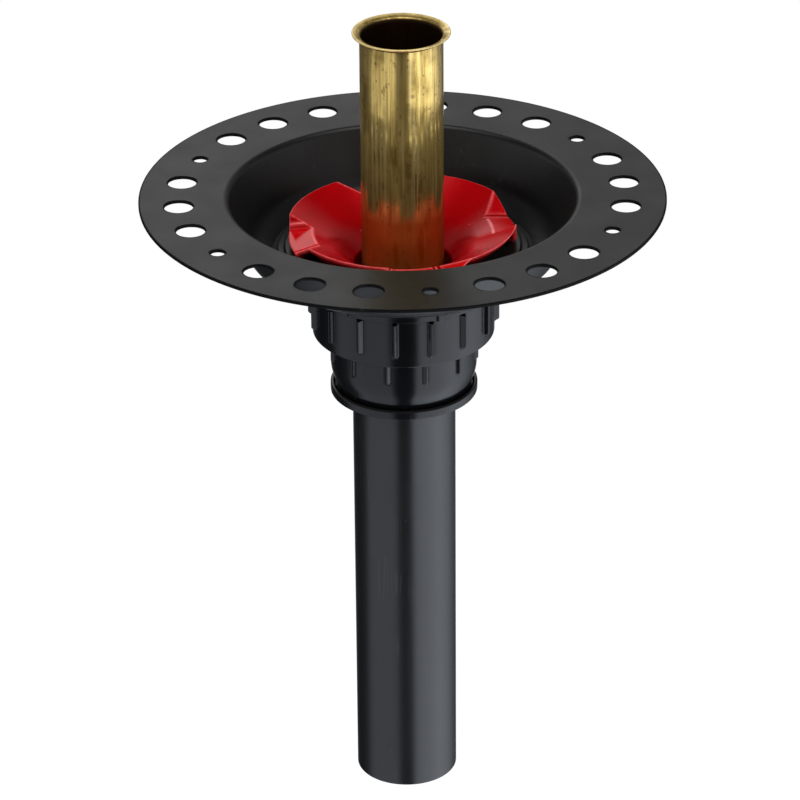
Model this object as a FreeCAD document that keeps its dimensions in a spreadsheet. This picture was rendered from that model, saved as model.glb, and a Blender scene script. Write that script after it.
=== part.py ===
import FreeCAD, Part
import os
import re

import Sketcher
from FreeCAD import Placement, Rotation, Vector

# Bathtub drain that is screwed to the floor under a freestanding tub.
# Origin: centre of the flange's underside, where it lies on the floor. +Z points up to the tub.
# Lengths are in millimetres, angles in degrees.

SIZES = {
    # mounting flange, a thin plate with a dished recess
    "plate_radius": 121.0,
    "plate_thick": 1.5,
    "recess_radius": 80.0,
    "recess_depth": 30.5,
    "recess_floor_radius": 69.0,
    "recess_edge_round": 3.0,
    "recess_floor_round": 12.0,
    "floor_hole_clear": 0.6,
    "hole_edge_distance": 18.2,
    "hole_ring_sectors": 6,
    "hole_angle_first": 6.0,
    "hole_angle_step": 15.0,
    "large_hole_radius": 6.7,
    "screw_hole_radius": 3.25,
    # gasket under the body's flange
    "gasket_edge_clear": 0.1,
    "gasket_thick": 2.0,
    "gasket_clear": 0.4,
    # drain body
    "body_flange_inset": 2.5,
    "body_flange_thick": 4.0,
    "body_step_inset": 3.5,
    "body_step_drop": 1.5,
    "body_length": 57.5,
    "mouth_bevel": 10.2,
    "sleeve_wall": 4.2,
    "core_gap": 4.0,
    "core_depth": 26.0,
    "barrel_wall": 3.5,
    "barrel_length": 33.5,
    "seal_seat_depth": 41.5,
    "shelf_thick": 3.0,
    "shelf_hole_clear": 0.95,
    # slip seal and thrust ring round the tailpiece
    "seal_height": 12.0,
    "seal_taper_height": 10.0,
    "seal_foot_wall": 3.35,
    "seal_clear": 0.1,
    "slide_fit": 0.08,
    "thrust_thick": 2.0,
    "thrust_clear": 0.5,
    # red hand nut
    "nut_rim_radius": 52.6,
    "nut_rim_stand": 12.0,
    "nut_break_reach": 4.5,
    "nut_break_stand": 0.5,
    "nut_throat_gap": 3.55,
    "nut_throat_drop": 9.5,
    "nut_wall": 2.2,
    "shank_wall": 3.9,
    "thread_clear": 0.3,
    "pocket_count": 4,
    "pocket_turn": 14.5,
    "pocket_half_angle": 20.9,
    "pocket_ramp_angle": 5.5,
    "pocket_depth": 8.0,
    "pocket_floor_slope": 0.168,
    "pocket_notch": 0.7,
    # brass tailpiece
    "tailpiece_radius": 19.05,
    "tailpiece_wall": 0.95,
    "tailpiece_length": 203.2,
    "tailpiece_stand": 80.7,
    "lip_width": 3.35,
    "lip_rise": 1.3,
    "lip_thick": 1.05,
    "lip_flare_round": 2.2,
    "lip_edge_round": 0.35,
    # backing ring under the recess
    "backing_wall": 4.6,
    "backing_height": 13.0,
    "backing_clear": 0.4,
    "lug_count": 6,
    "lug_turn": 232.0,
    "lug_stand": 1.5,
    "lug_width": 3.0,
    "lug_height": 6.5,
    # large ribbed locknut
    "locknut_wall": 3.6,
    "locknut_height": 23.0,
    "locknut_gap": 0.2,
    "locknut_rib_stand": 2.3,
    "locknut_rib_width": 2.5,
    "locknut_rib_foot": 5.8,
    "locknut_rib_count": 16,
    "locknut_turn": 16.5,
    # small ribbed coupling nut
    "coupling_wall": 2.9,
    "coupling_top_gap": 3.02,
    "coupling_foot_wall": 2.02,
    "coupling_taper_height": 9.2,
    "coupling_lip_height": 2.6,
    "coupling_rib_stand": 1.4,
    "coupling_rib_width": 2.2,
    "coupling_rib_foot": 14.9,
    "coupling_rib_count": 12,
    "coupling_turn": 16.5,
    "neck_clear": 0.7,
    # bevelled lower ends and top edges of the ribs and nuts
    "rib_round": 1.4,
    "nut_edge_bevel": 0.8,
    # union washer and pipe adapter
    "washer_thick": 2.0,
    "union_edge": 2.0,
    "union_cone_height": 7.4,
    "union_clear": 0.4,
    "hub_wall": 2.4,
    "hub_top_gap": 5.3,
    "hub_stop": 2.0,
    "hub_stop_width": 2.63,
    "hub_clear": 0.5,
    "collar_gap": 2.0,
    "collar_wall": 3.46,
    "collar_height": 5.9,
    "collar_floor": 2.2,
    "collar_neck_height": 5.8,
    "collar_edge_bevel": 1.0,
    # tail pipe
    "pipe_bore_clear": 1.4,
    "pipe_wall": 3.68,
    "pipe_length": 228.6,
    "pipe_spigot_relief": 0.3,
    "pipe_shoulder_gap": 0.1,
    "socket_clear": 0.05,
}

# Radii, worked outwards from the tailpiece.
TAILPIECE_BORE = "(tailpiece_radius - tailpiece_wall)"
LIP_RADIUS = "(tailpiece_radius + lip_width)"
SEAL_FOOT = "(tailpiece_radius + seal_foot_wall)"
SHELF_HOLE = "(tailpiece_radius + shelf_hole_clear)"
NUT_THROAT = "(tailpiece_radius + nut_throat_gap)"
SHANK = f"({NUT_THROAT} + shank_wall)"
NUT_BREAK = f"({SHANK} + nut_break_reach)"
NUT_BORE = f"({SHANK} + thread_clear)"
SPIGOT = f"({NUT_BORE} + sleeve_wall)"
CORE_WALL = f"({SPIGOT} + core_gap)"
BARREL = f"({CORE_WALL} + barrel_wall)"
FLOOR_HOLE = f"({BARREL} + floor_hole_clear)"
BACKING_BORE = f"({BARREL} + backing_clear)"
BACKING_RADIUS = f"({BACKING_BORE} + backing_wall)"
LOCKNUT_BORE = f"({BARREL} + thread_clear)"
LOCKNUT_RADIUS = f"({LOCKNUT_BORE} + locknut_wall)"
PIPE_BORE = "(tailpiece_radius + pipe_bore_clear)"
PIPE_RADIUS = f"({PIPE_BORE} + pipe_wall)"
PIPE_SPIGOT = f"({PIPE_RADIUS} - pipe_spigot_relief)"
SOCKET_BORE = f"({PIPE_SPIGOT} + socket_clear)"
HUB_RADIUS = f"({SOCKET_BORE} + hub_wall)"
HUB_STOP_BORE = f"({PIPE_RADIUS} - hub_stop_width)"
SPIGOT_BORE = f"({HUB_RADIUS} + hub_clear)"
COUPLING_BORE = f"({SPIGOT} + thread_clear)"
COUPLING_RADIUS = f"({COUPLING_BORE} + coupling_wall)"
UNION_RADIUS = f"({COUPLING_BORE} - union_clear)"
NECK_HOLE = f"({HUB_RADIUS} + neck_clear)"
COUPLING_FOOT = f"({NECK_HOLE} + coupling_foot_wall)"
COLLAR_LIP = f"({COUPLING_FOOT} + collar_gap)"
COLLAR_RADIUS = f"({COLLAR_LIP} + collar_wall)"

# Radii on the flange, and those of what lies on its floor.
RECESS_LEAN = "((recess_radius - recess_floor_radius) / recess_depth)"
HOLE_RING = "(plate_radius - hole_edge_distance)"
FLAT_FLOOR = f"(recess_floor_radius - recess_floor_round * (sqrt(1 + {RECESS_LEAN} ^ 2) - {RECESS_LEAN}))"
GASKET_RADIUS = f"({FLAT_FLOOR} - gasket_edge_clear)"
BODY_FLANGE = f"({GASKET_RADIUS} - body_flange_inset)"
BODY_STEP = f"({BODY_FLANGE} - body_step_inset)"

# Heights of the seats, measured from the floor plane, from the top of the stack down.
RECESS_FLOOR = "(plate_thick - recess_depth)"
RECESS_UNDERSIDE = f"({RECESS_FLOOR} - plate_thick)"
BODY_SEAT = f"({RECESS_FLOOR} + gasket_thick)"
BODY_TOP = f"({BODY_SEAT} + body_flange_thick)"
SEAL_SHELF = f"({BODY_TOP} - seal_seat_depth)"
THRUST_SEAT = f"({SEAL_SHELF} + seal_height)"
NUT_SEAT = f"({THRUST_SEAT} + thrust_thick)"
SPIGOT_END = f"({BODY_TOP} - body_length)"
TAILPIECE_FOOT = "(plate_thick + tailpiece_stand - tailpiece_length)"
LOCKNUT_FOOT = f"({RECESS_UNDERSIDE} - backing_height - locknut_gap - locknut_height)"
COUPLING_TOP = f"({BODY_SEAT} - barrel_length - coupling_top_gap)"
UNION_TOP = f"({SPIGOT_END} - washer_thick)"
HUB_TOP = f"({SEAL_SHELF} - shelf_thick - hub_top_gap)"
HUB_STOP = f"({HUB_TOP} - hub_stop)"
ADAPTER_FOOT = f"({UNION_TOP} - union_edge - union_cone_height - collar_neck_height)"
PIPE_FOOT = f"({HUB_STOP} - pipe_length)"

# Heights inside one piece, measured from its own foot.
NUT_DEPTH = "(seal_seat_depth - seal_height - thrust_thick)"
NUT_RIM_HEIGHT = f"({NUT_DEPTH} + nut_rim_stand)"
NUT_BREAK_HEIGHT = f"({NUT_DEPTH} + nut_break_stand)"
NUT_THROAT_HEIGHT = f"({NUT_DEPTH} - nut_throat_drop)"
CONE_TOP = "(collar_neck_height + union_cone_height)"
ADAPTER_HEIGHT = f"({HUB_TOP} - {ADAPTER_FOOT})"
SOCKET_DEPTH = f"({ADAPTER_HEIGHT} - hub_stop)"

doc = FreeCAD.newDocument("bathtub_drain")
sheet = doc.addObject("Spreadsheet::Sheet", "sizes")
for row, (alias, size) in enumerate(SIZES.items(), 1):
    sheet.set(f"A{row}", alias)
    sheet.set(f"B{row}", str(size))
    sheet.setAlias(f"B{row}", alias)
doc.recompute()


def cells(formula):
    """The formula with each size replaced by its cell in the sheet."""
    return re.sub(r"[a-z]\w*", lambda word: f"sizes.{word[0]}" if word[0] in SIZES else word[0], formula)


def worth(formula):
    """The number that a formula of sizes comes to."""
    return float(sheet.evalExpression(cells(formula)))


def origin_part(body, role):
    """One of a body's own origin planes or axes."""
    return next(part for part in body.Origin.OriginFeatures if part.Role == role)


def flat_sketch(body, name, role="XZ_Plane"):
    """An empty sketch on one of the body's origin planes."""
    sketch = body.newObject("Sketcher::SketchObject", name)
    sketch.AttachmentSupport = (origin_part(body, role), "")
    sketch.MapMode = "FlatFace"
    return sketch


def tie(sketch, kind, where, formula):
    """Add one dimension to a sketch and tie it to its formula."""
    index = sketch.addConstraint(Sketcher.Constraint(kind, *where, worth(formula)))
    sketch.setExpression(f"Constraints[{index}]", cells(formula))


def draw_outline(sketch, corners):
    """Draw a closed run of straight edges, each corner tied to its (across, up) formulas."""
    points = [Vector(worth(across), worth(up), 0) for across, up in corners]
    for start, end in zip(points, points[1:] + points[:1]):
        sketch.addGeometry(Part.LineSegment(start, end))
    for line, (across, up) in enumerate(corners):
        sketch.addConstraint(Sketcher.Constraint("Coincident", line, 2, (line + 1) % len(corners), 1))
        tie(sketch, "DistanceX", (-1, 1, line, 1), across)
        tie(sketch, "DistanceY", (-1, 1, line, 1), up)


def turned_body(name, corners):
    """A body turned from its (radius, height) section about its own Z axis."""
    body = doc.addObject("PartDesign::Body", name)
    sketch = flat_sketch(body, f"{name}_section")
    draw_outline(sketch, corners)
    turned = body.newObject("PartDesign::Revolution", f"{name}_turned")
    turned.Profile = sketch
    turned.ReferenceAxis = (sketch, ["V_Axis"])
    turned.Angle = 360
    return body


def repeat_round(body, feature, count):
    """Repeat a feature evenly round the body's Z axis."""
    pattern = body.newObject("PartDesign::PolarPattern", f"{feature.Name}_ring")
    pattern.Originals = [feature]
    pattern.Axis = (origin_part(body, "Z_Axis"), [""])
    pattern.Angle = 360
    pattern.setExpression("Occurrences", cells(count))
    body.Tip = pattern


def add_ribs(body, name, corners, width, count):
    """Ribs of a (radius, height) side outline, centred on the section plane and repeated round."""
    sketch = flat_sketch(body, f"{name}_side")
    draw_outline(sketch, corners)
    rib = body.newObject("PartDesign::Pad", name)
    rib.Profile = sketch
    rib.SideType = "Symmetric"
    rib.setExpression("Length", cells(width))
    repeat_round(body, rib, count)


def round_rings(body, name, rings, radius):
    """Round the circular edges that lie at the given (radius, height) places."""
    doc.recompute()
    base = body.Tip
    places = [(worth(across), worth(up)) for across, up in rings]
    names = []
    for number, edge in enumerate(base.Shape.Edges, 1):
        if edge.Curve.TypeId != "Part::GeomCircle":
            continue
        found = (edge.Curve.Radius, edge.Curve.Center.z)
        if any(abs(found[0] - place[0]) + abs(found[1] - place[1]) < 1e-4 for place in places):
            names.append(f"Edge{number}")
    fillet = body.newObject("PartDesign::Fillet", name)
    fillet.Base = (base, names)
    fillet.setExpression("Radius", cells(radius))


def place(piece, height, turn="0"):
    """Set a piece at its height in the stack, turned about the common axis."""
    piece.Placement = Placement(Vector(0, 0, worth(height)), Rotation(Vector(0, 0, 1), worth(turn)))
    piece.setExpression("Placement.Base.z", cells(height))
    piece.setExpression("Placement.Rotation.Angle", cells(turn))
    return piece


def ring(name, inner, outer, thick):
    """A plain flat ring."""
    return turned_body(name, [(inner, "0"), (outer, "0"), (outer, thick), (inner, thick)])


def make_flange():
    """Thin plate with a dished recess, a ring of holes and a hole for the drain body."""
    wall = f"(plate_thick * (sqrt(1 + {RECESS_LEAN} ^ 2) - {RECESS_LEAN}))"
    outer_foot = f"(recess_floor_radius + {wall})"
    outer_head = f"(recess_radius + {wall})"
    plate_top = "(recess_depth + plate_thick)"
    body = turned_body("mounting_flange", [
        (FLOOR_HOLE, "0"),
        (outer_foot, "0"),
        (outer_head, "recess_depth"),
        ("plate_radius", "recess_depth"),
        ("plate_radius", plate_top),
        ("recess_radius", plate_top),
        ("recess_floor_radius", "plate_thick"),
        (FLOOR_HOLE, "plate_thick"),
    ])
    round_rings(body, "recess_floor_fillet", [("recess_floor_radius", "plate_thick")], "recess_floor_round")
    round_rings(body, "recess_foot_fillet", [(outer_foot, "0")], "recess_floor_round + plate_thick")
    round_rings(body, "recess_edge_fillet", [("recess_radius", plate_top)], "recess_edge_round")
    holes = flat_sketch(body, "hole_sector", "XY_Plane")
    for number, radius in enumerate(["large_hole_radius", "large_hole_radius", "screw_hole_radius",
                                     "large_hole_radius"]):
        angle = f"(hole_angle_first + {number} * hole_angle_step)"
        across = f"({HOLE_RING} * cos({angle}))"
        up = f"({HOLE_RING} * sin({angle}))"
        centre = Vector(worth(across), worth(up), 0)
        holes.addGeometry(Part.Circle(centre, Vector(0, 0, 1), worth(radius)))
        tie(holes, "DistanceX", (-1, 1, number, 3), across)
        tie(holes, "DistanceY", (-1, 1, number, 3), up)
        tie(holes, "Radius", (number,), radius)
    drilled = body.newObject("PartDesign::Pocket", "holes")
    drilled.Profile = holes
    drilled.Type = "ThroughAll"
    drilled.Reversed = True
    repeat_round(body, drilled, "hole_ring_sectors")
    return place(body, RECESS_UNDERSIDE)


def make_gasket():
    """Flat rubber ring between the body's flange and the recess floor."""
    return place(ring("body_gasket", f"{BARREL} + gasket_clear", GASKET_RADIUS, "gasket_thick"), RECESS_FLOOR)


def make_drain_body():
    """Moulded body: stepped flange, outer barrel and inner sleeve cored apart, seal seat and spigot."""
    seat = "(body_length - body_flange_thick)"
    step = "(body_length - body_step_drop)"
    barrel_foot = f"({seat} - barrel_length)"
    shelf = "(body_length - seal_seat_depth)"
    body = turned_body("drain_body", [
        (SPIGOT_BORE, "0"),
        (SPIGOT, "0"),
        (SPIGOT, f"{barrel_foot} + core_depth"),
        (CORE_WALL, f"{barrel_foot} + core_depth"),
        (CORE_WALL, barrel_foot),
        (BARREL, barrel_foot),
        (BARREL, seat),
        (BODY_FLANGE, seat),
        (BODY_FLANGE, step),
        (BODY_STEP, step),
        (BODY_STEP, "body_length"),
        (f"{NUT_BORE} + mouth_bevel", "body_length"),
        (NUT_BORE, "body_length - mouth_bevel"),
        (NUT_BORE, f"{shelf} + seal_taper_height"),
        (f"{SEAL_FOOT} + seal_clear", shelf),
        (SHELF_HOLE, shelf),
        (SHELF_HOLE, f"{shelf} - shelf_thick"),
        (SPIGOT_BORE, f"{shelf} - shelf_thick"),
    ])
    return place(body, SPIGOT_END)


def make_seal():
    """Tapered rubber ring that grips the tailpiece."""
    inner = "tailpiece_radius + slide_fit"
    outer = f"{NUT_BORE} - seal_clear"
    body = turned_body("slip_seal", [
        (inner, "0"),
        (SEAL_FOOT, "0"),
        (outer, "seal_taper_height"),
        (outer, "seal_height"),
        (inner, "seal_height"),
    ])
    return place(body, SEAL_SHELF)


def make_thrust_ring():
    """Hard ring that lets the hand nut turn on the seal."""
    return place(ring("thrust_ring", "tailpiece_radius + thrust_clear", f"{NUT_BORE} - thrust_clear",
                      "thrust_thick"), THRUST_SEAT)


def upright_sketch(name, distance):
    """An empty sketch that stands across the X axis at a distance, at the height of the pockets' apex."""
    sketch = doc.addObject("Sketcher::SketchObject", name)
    sketch.Placement.Rotation = Rotation(Vector(0, 1, 0), Vector(0, 0, 1), Vector(1, 0, 0), "ZXY")
    sketch.setExpression("Placement.Base.x", cells(distance))
    sketch.setExpression("Placement.Base.z", cells(f"{NUT_RIM_HEIGHT} - pocket_depth"
                                                   " + nut_rim_radius * pocket_floor_slope"))
    return sketch


def pocket_wedge(name, rays):
    """A wedge whose faces all run to the apex, from rays of (sideways angle, rise per length)."""
    sections = []
    for end, distance in (("near", f"{NUT_THROAT} / 2"), ("far", "nut_rim_radius * 1.1")):
        sketch = upright_sketch(f"{name}_{end}", distance)
        draw_outline(sketch, [(f"{distance} * tan({side})", f"{distance} * ({rise})") for side, rise in rays])
        sections.append(sketch)
    wedge = doc.addObject("Part::Loft", name)
    wedge.Sections = sections
    wedge.Ruled = True
    wedge.Solid = True
    return wedge


def fused_round(name, shape, count, turn):
    """Copies of a shape set evenly round the Z axis and fused."""
    copies = []
    for number in range(round(worth(count))):
        copy = doc.addObject("Part::Compound", f"{name}_{number}")
        copy.Links = [shape]
        copy.Placement.Rotation = Rotation(Vector(0, 0, 1), worth(turn))
        copy.setExpression("Placement.Rotation.Angle", cells(f"{turn} + {number} * 360 / {count}"))
        copies.append(copy)
    fused = doc.addObject("Part::MultiFuse", name)
    fused.Shapes = copies
    return fused


def make_hand_nut():
    """Red funnel-shaped hand nut: four finger pockets, each a ramp, a floor and a wall to push on."""
    steep = f"(({NUT_BREAK_HEIGHT} - {NUT_THROAT_HEIGHT}) / ({NUT_BREAK} - {NUT_THROAT}))"
    funnel = turned_body("funnel", [
        (NUT_THROAT, "0"),
        (SHANK, "0"),
        (SHANK, f"{NUT_THROAT_HEIGHT} + shank_wall * {steep} - nut_wall"),
        (NUT_BREAK, f"{NUT_BREAK_HEIGHT} - nut_wall"),
        ("nut_rim_radius", f"{NUT_RIM_HEIGHT} - nut_wall"),
        ("nut_rim_radius", NUT_RIM_HEIGHT),
        (NUT_BREAK, NUT_BREAK_HEIGHT),
        (NUT_THROAT, NUT_THROAT_HEIGHT),
    ])
    under_funnel = turned_body("under_funnel", [
        (NUT_BREAK, f"{NUT_BREAK_HEIGHT} - pocket_depth"),
        ("nut_rim_radius", f"{NUT_BREAK_HEIGHT} - pocket_depth"),
        ("nut_rim_radius", NUT_RIM_HEIGHT),
        (NUT_BREAK, NUT_BREAK_HEIGHT),
    ])
    # rise of each ray from the apex, per length along the middle of the pocket
    floor = "-pocket_floor_slope"
    rim = "((pocket_depth - nut_rim_radius * pocket_floor_slope) / nut_rim_radius / cos(pocket_half_angle))"
    wall = "(nut_wall / nut_rim_radius)"
    wall_angle = "(pocket_half_angle + nut_wall / nut_rim_radius * 180 / pi)"
    notch = "(pocket_notch / nut_rim_radius)"
    top = "0.3"
    cavity = pocket_wedge("pocket_cavity", [
        ("-pocket_half_angle", floor),
        ("pocket_ramp_angle", floor),
        ("pocket_ramp_angle", f"{floor} - {notch}"),
        ("pocket_half_angle", rim),
        ("pocket_half_angle", top),
        ("-pocket_half_angle", top),
    ])
    shell = pocket_wedge("pocket_shell", [
        (f"-{wall_angle}", f"{floor} - {wall}"),
        ("pocket_ramp_angle", f"{floor} - {wall} - {notch}"),
        (wall_angle, f"{rim} - {wall}"),
        (wall_angle, top),
        (f"-{wall_angle}", top),
    ])
    linings = doc.addObject("Part::MultiCommon", "pocket_linings")
    linings.Shapes = [under_funnel, fused_round("pocket_shells", shell, "pocket_count", "pocket_turn")]
    blank = doc.addObject("Part::MultiFuse", "nut_blank")
    blank.Shapes = [funnel, linings]
    nut = doc.addObject("Part::Cut", "compression_nut")
    nut.Base = blank
    nut.Tool = fused_round("pocket_cavities", cavity, "pocket_count", "pocket_turn")
    nut.Refine = True
    return place(nut, NUT_SEAT)


def make_tailpiece():
    """Thin brass tube whose top is flared out and up into a lip."""
    lip_foot = "(tailpiece_length - lip_thick - lip_rise)"
    lip_edge = "(tailpiece_length - lip_thick)"
    flare_foot = "(tailpiece_length - (lip_width + tailpiece_wall) * lip_rise / lip_width)"
    body = turned_body("brass_tailpiece", [
        (TAILPIECE_BORE, "0"),
        ("tailpiece_radius", "0"),
        ("tailpiece_radius", lip_foot),
        (LIP_RADIUS, lip_edge),
        (LIP_RADIUS, "tailpiece_length"),
        (TAILPIECE_BORE, flare_foot),
    ])
    round_rings(body, "lip_flare", [(TAILPIECE_BORE, flare_foot)], "lip_flare_round")
    round_rings(body, "lip_neck", [("tailpiece_radius", lip_foot)], "lip_flare_round - tailpiece_wall")
    round_rings(body, "lip_edges", [
        (LIP_RADIUS, lip_edge),
        (LIP_RADIUS, "tailpiece_length"),
    ], "lip_edge_round")
    return place(body, TAILPIECE_FOOT)


def make_backing_ring():
    """Plain band under the recess with short lugs that stop it turning."""
    body = ring("backing_ring", BACKING_BORE, BACKING_RADIUS, "backing_height")
    root = f"({BACKING_BORE} + {BACKING_RADIUS}) / 2"
    tip = f"{BACKING_RADIUS} + lug_stand"
    add_ribs(body, "lug", [
        (root, "0"),
        (tip, "0"),
        (tip, "lug_height - rib_round"),
        (f"{tip} - rib_round", "lug_height"),
        (root, "lug_height"),
    ], "lug_width", "lug_count")
    return place(body, f"{RECESS_UNDERSIDE} - backing_height", "lug_turn")


def rib_side(bore, wall, tip, foot, head):
    """Side outline of a grip rib, rooted in the middle of its wall, with its lower outer end bevelled."""
    root = f"({bore} + {wall}) / 2"
    return [
        (root, foot),
        (f"{tip} - rib_round", foot),
        (tip, f"{foot} + rib_round"),
        (tip, head),
        (root, head),
    ]


def make_locknut():
    """Large ribbed nut that clamps the body to the recess floor."""
    body = turned_body("locknut", [
        (LOCKNUT_BORE, "0"),
        (f"{LOCKNUT_RADIUS} - nut_edge_bevel", "0"),
        (LOCKNUT_RADIUS, "nut_edge_bevel"),
        (LOCKNUT_RADIUS, "locknut_height"),
        (LOCKNUT_BORE, "locknut_height"),
    ])
    side = rib_side(LOCKNUT_BORE, LOCKNUT_RADIUS, f"({LOCKNUT_RADIUS} + locknut_rib_stand)",
                    "locknut_rib_foot", "locknut_height - nut_edge_bevel")
    add_ribs(body, "locknut_rib", side, "locknut_rib_width", "locknut_rib_count")
    return place(body, LOCKNUT_FOOT, "locknut_turn")


def make_coupling_nut():
    """Small ribbed nut with a tapered foot that draws the pipe adapter up to the spigot."""
    cone_lean = f"(({COUPLING_BORE} - {NECK_HOLE}) / ({UNION_RADIUS} - {HUB_RADIUS}))"
    cone_head = f"(coupling_lip_height + union_cone_height * {cone_lean})"
    foot = f"({UNION_TOP} - union_edge - {cone_head})"
    height = f"({COUPLING_TOP} - {foot})"
    body = turned_body("coupling_nut", [
        (NECK_HOLE, "0"),
        (COUPLING_FOOT, "0"),
        (COUPLING_RADIUS, "coupling_taper_height"),
        (COUPLING_RADIUS, height),
        (COUPLING_BORE, height),
        (COUPLING_BORE, cone_head),
        (NECK_HOLE, "coupling_lip_height"),
    ])
    side = rib_side(COUPLING_BORE, COUPLING_RADIUS, f"({COUPLING_RADIUS} + coupling_rib_stand)",
                    "coupling_rib_foot", f"{height} - nut_edge_bevel")
    add_ribs(body, "coupling_rib", side, "coupling_rib_width", "coupling_rib_count")
    return place(body, foot, "coupling_turn")


def make_washer():
    """Flat rubber ring between the spigot and the adapter."""
    return place(ring("coupling_washer", SPIGOT_BORE, UNION_RADIUS, "washer_thick"), UNION_TOP)


def make_adapter():
    """Hub on the end of the pipe: dished collar, coned union shoulder and sleeve."""
    body = turned_body("pipe_adapter", [
        (SOCKET_BORE, "0"),
        (COLLAR_RADIUS, "0"),
        (COLLAR_RADIUS, "collar_height - collar_edge_bevel"),
        (f"{COLLAR_RADIUS} - collar_edge_bevel", "collar_height"),
        (COLLAR_LIP, "collar_height"),
        (COLLAR_LIP, "collar_floor"),
        (HUB_RADIUS, "collar_floor"),
        (HUB_RADIUS, "collar_neck_height"),
        (UNION_RADIUS, CONE_TOP),
        (UNION_RADIUS, f"{CONE_TOP} + union_edge"),
        (HUB_RADIUS, f"{CONE_TOP} + union_edge"),
        (HUB_RADIUS, ADAPTER_HEIGHT),
        (HUB_STOP_BORE, ADAPTER_HEIGHT),
        (HUB_STOP_BORE, SOCKET_DEPTH),
        (SOCKET_BORE, SOCKET_DEPTH),
    ])
    return place(body, ADAPTER_FOOT)


def make_pipe():
    """Long plastic pipe; the end in the socket is turned down to leave a shoulder."""
    shoulder = f"pipe_length - {SOCKET_DEPTH} - pipe_shoulder_gap"
    body = turned_body("tail_pipe", [
        (PIPE_BORE, "0"),
        (PIPE_RADIUS, "0"),
        (PIPE_RADIUS, shoulder),
        (PIPE_SPIGOT, shoulder),
        (PIPE_SPIGOT, "pipe_length"),
        (PIPE_BORE, "pipe_length"),
    ])
    return place(body, PIPE_FOOT)


pieces = [
    make_flange(),
    make_gasket(),
    make_drain_body(),
    make_seal(),
    make_thrust_ring(),
    make_hand_nut(),
    make_tailpiece(),
    make_backing_ring(),
    make_locknut(),
    make_coupling_nut(),
    make_washer(),
    make_adapter(),
    make_pipe(),
]
doc.recompute()

for item in doc.Objects:
    if "Invalid" in item.State or "Error" in item.State:
        raise RuntimeError(f"{item.Label} did not build: {item.State}")
for piece in pieces:
    if piece.Shape.isNull() or not piece.Shape.isValid() or len(piece.Shape.Solids) != 1:
        raise RuntimeError(f"{piece.Label} is not one valid solid")

os.makedirs("parts", exist_ok=True)
for piece in pieces:
    piece.Shape.exportStep(f"parts/{piece.Label}.step")
    box = piece.Shape.BoundBox
    print(f"{piece.Label}: {piece.Shape.Volume / 1000:.2f} cm3, z {box.ZMin:.2f} to {box.ZMax:.2f},"
          f" across {box.XLength:.2f}")
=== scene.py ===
import bmesh
import bpy
import numpy as np
from mathutils import Matrix, Vector


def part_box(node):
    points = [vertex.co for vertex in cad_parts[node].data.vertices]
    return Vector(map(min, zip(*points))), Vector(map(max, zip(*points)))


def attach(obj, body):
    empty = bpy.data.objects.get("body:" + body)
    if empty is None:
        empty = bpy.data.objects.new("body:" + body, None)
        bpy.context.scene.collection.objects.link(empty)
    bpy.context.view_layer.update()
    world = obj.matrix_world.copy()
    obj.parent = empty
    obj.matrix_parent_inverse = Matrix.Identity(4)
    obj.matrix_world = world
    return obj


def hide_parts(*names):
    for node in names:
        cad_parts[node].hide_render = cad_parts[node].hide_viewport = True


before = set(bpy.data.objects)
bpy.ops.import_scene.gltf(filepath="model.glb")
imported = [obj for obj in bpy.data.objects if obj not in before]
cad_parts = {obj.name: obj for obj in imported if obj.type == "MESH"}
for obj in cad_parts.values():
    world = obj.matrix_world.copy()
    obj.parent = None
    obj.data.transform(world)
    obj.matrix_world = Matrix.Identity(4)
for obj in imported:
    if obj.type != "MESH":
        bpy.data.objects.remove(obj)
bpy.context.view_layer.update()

mm = 0.001
fullTurn = 2 * np.pi


def spanOf(node):  # foot and head height of a node at rest, in millimetres
    low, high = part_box(node)
    return low[2] / mm, high[2] / mm


# Surfaces on grids. Lengths are millimetres until a mesh is made.


def smoothStep(value):  # 3v^2 - 2v^3, held at 0 and 1
    value = np.clip(value, 0, 1)
    return value * value * (3 - 2 * value)


def softMin(a, b, blend):
    # the lower of two heights; where they come within the blend of each other a parabola rounds the edge
    share = np.clip(0.5 + 0.5 * (b - a) / blend, 0, 1)
    return b + (a - b) * share - blend * share * (1 - share)


def roundedOutline(corners, steps=5, hold=0.6):
    # closed outline from corners of (radius, height, rounding): each corner becomes an arc that touches both
    # of its edges, with one point kept on each edge beside it so that the flats shade flat
    corners = np.array(corners, float)
    point, rounding = corners[:, :2], corners[:, 2:]
    toLast = np.roll(point, 1, 0) - point
    toNext = np.roll(point, -1, 0) - point
    lastLength = np.linalg.norm(toLast, axis=1, keepdims=True)
    nextLength = np.linalg.norm(toNext, axis=1, keepdims=True)
    toLast, toNext = toLast / lastLength, toNext / nextLength
    half = np.arccos(np.sum(toLast * toNext, 1, keepdims=True)) / 2
    reach = rounding / np.tan(half)
    middle = toLast + toNext
    centre = point + middle / np.linalg.norm(middle, axis=1, keepdims=True) * rounding / np.sin(half)
    start, end = point + toLast * reach, point + toNext * reach
    first = np.arctan2(start[:, 1:] - centre[:, 1:], start[:, :1] - centre[:, :1])
    sweep = np.arctan2(end[:, 1:] - centre[:, 1:], end[:, :1] - centre[:, :1]) - first
    sweep = (sweep + np.pi) % fullTurn - np.pi
    angle = first + sweep * np.linspace(0, 1, steps)
    arc = centre[:, None] + rounding[:, None] * np.stack([np.cos(angle), np.sin(angle)], -1)
    before = start + toLast * np.minimum(hold, 0.3 * (lastLength - reach - np.roll(reach, 1, 0)))
    after = end + toNext * np.minimum(hold, 0.3 * (nextLength - reach - np.roll(reach, -1, 0)))
    return np.concatenate([before[:, None], arc, after[:, None]], 1).reshape(-1, 2)


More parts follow.
